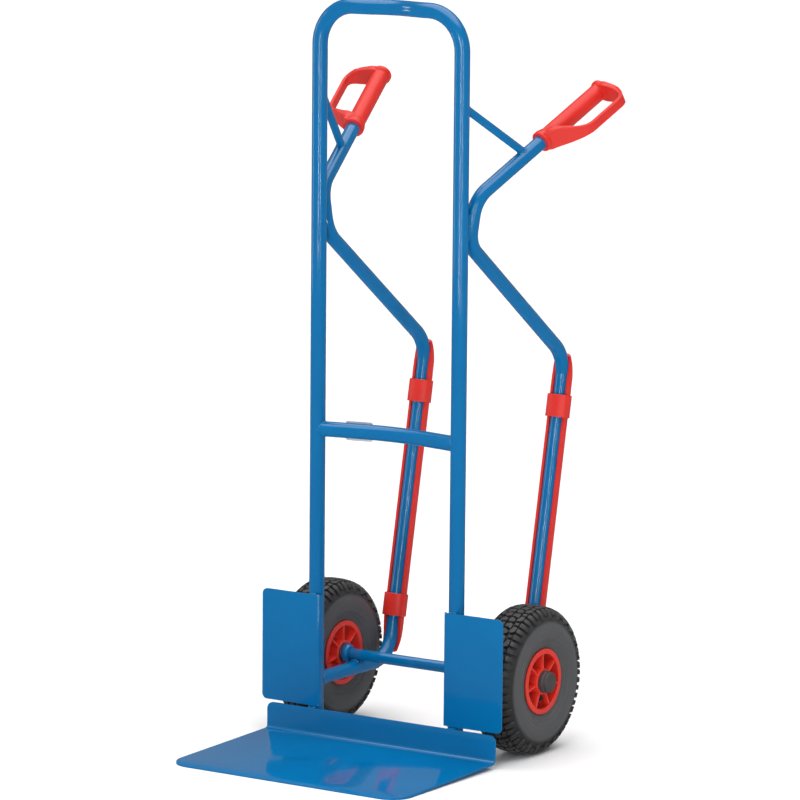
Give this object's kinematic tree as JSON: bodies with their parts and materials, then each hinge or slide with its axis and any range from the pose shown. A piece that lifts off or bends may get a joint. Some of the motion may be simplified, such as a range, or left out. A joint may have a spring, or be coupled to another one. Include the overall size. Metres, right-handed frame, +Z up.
{
  "type": "hand truck",
  "caption": "Upright two-wheeled hand truck with a bent steel tube frame, folded toe plate, air-filled tyres, guarded hand grips and plastic stair skids.",
  "frame": {"origin": "middle of the footprint on the floor, with the truck standing on its tyres and the front edge of its toe plate", "axes": "+Z up, +X to the right along the axle, +Y to the rear"},
  "size_m": [0.5826, 0.6649, 1.3037],
  "materials": {
    "frame_paint": "glossy mid-blue powder coat on steel tube and sheet",
    "red_plastic": "satin moulded red plastic",
    "rim_plastic": "semi-gloss moulded red plastic",
    "tyre_rubber": "dull charcoal rubber with block tread",
    "tube_rubber": "smooth black butyl rubber",
    "grey_plastic": "satin dark grey plastic",
    "zinc_steel": "bright zinc-plated steel",
    "valve_brass": "dull nickel-washed brass",
    "rating_label": "blank pale grey label"
  },
  "bodies": {
    "frame": {"main_frame": "frame_paint", "cross_tube": "frame_paint", "toe_plate": "frame_paint", "axle": "frame_paint", "rating_plate": "rating_label", "side_tube_right": "frame_paint", "grip_strut_right": "frame_paint", "hand_grip_right": "red_plastic", "skid_right": "red_plastic", "skid_clip_upper_right": "red_plastic", "skid_clip_lower_right": "red_plastic", "wheel_guard_right": "frame_paint", "inner_washer_right": "zinc_steel", "outer_washer_right": "zinc_steel", "retaining_ring_right": "zinc_steel", "hub_cap_right": "grey_plastic", "axle_collar_right": "frame_paint", "side_tube_left": "frame_paint", "grip_strut_left": "frame_paint", "hand_grip_left": "red_plastic", "skid_left": "red_plastic", "skid_clip_upper_left": "red_plastic", "skid_clip_lower_left": "red_plastic", "wheel_guard_left": "frame_paint", "inner_washer_left": "zinc_steel", "outer_washer_left": "zinc_steel", "retaining_ring_left": "zinc_steel", "hub_cap_left": "grey_plastic", "axle_collar_left": "frame_paint"},
    "wheel_right": {"tyre_right": "tyre_rubber", "inner_tube_right": "tube_rubber", "valve_right": "valve_brass", "rim_outer_right": "rim_plastic", "rim_inner_right": "rim_plastic", "hub_sleeve_right": "zinc_steel", "bearing_outer_right": "zinc_steel", "bearing_inner_right": "zinc_steel"},
    "wheel_left": {"tyre_left": "tyre_rubber", "inner_tube_left": "tube_rubber", "valve_left": "valve_brass", "rim_outer_left": "rim_plastic", "rim_inner_left": "rim_plastic", "hub_sleeve_left": "zinc_steel", "bearing_outer_left": "zinc_steel", "bearing_inner_left": "zinc_steel"}
  },
  "joints": [
    {"name": "wheel_right_spin", "type": "hinge", "parent": "frame", "child": "wheel_right", "pos_m": [0.209, 0.1082, 0.13], "axis": [1, 0, 0], "continuous": true},
    {"name": "wheel_left_spin", "type": "hinge", "parent": "frame", "child": "wheel_left", "pos_m": [-0.209, 0.1082, 0.13], "axis": [1, 0, 0], "continuous": true}
  ]
}
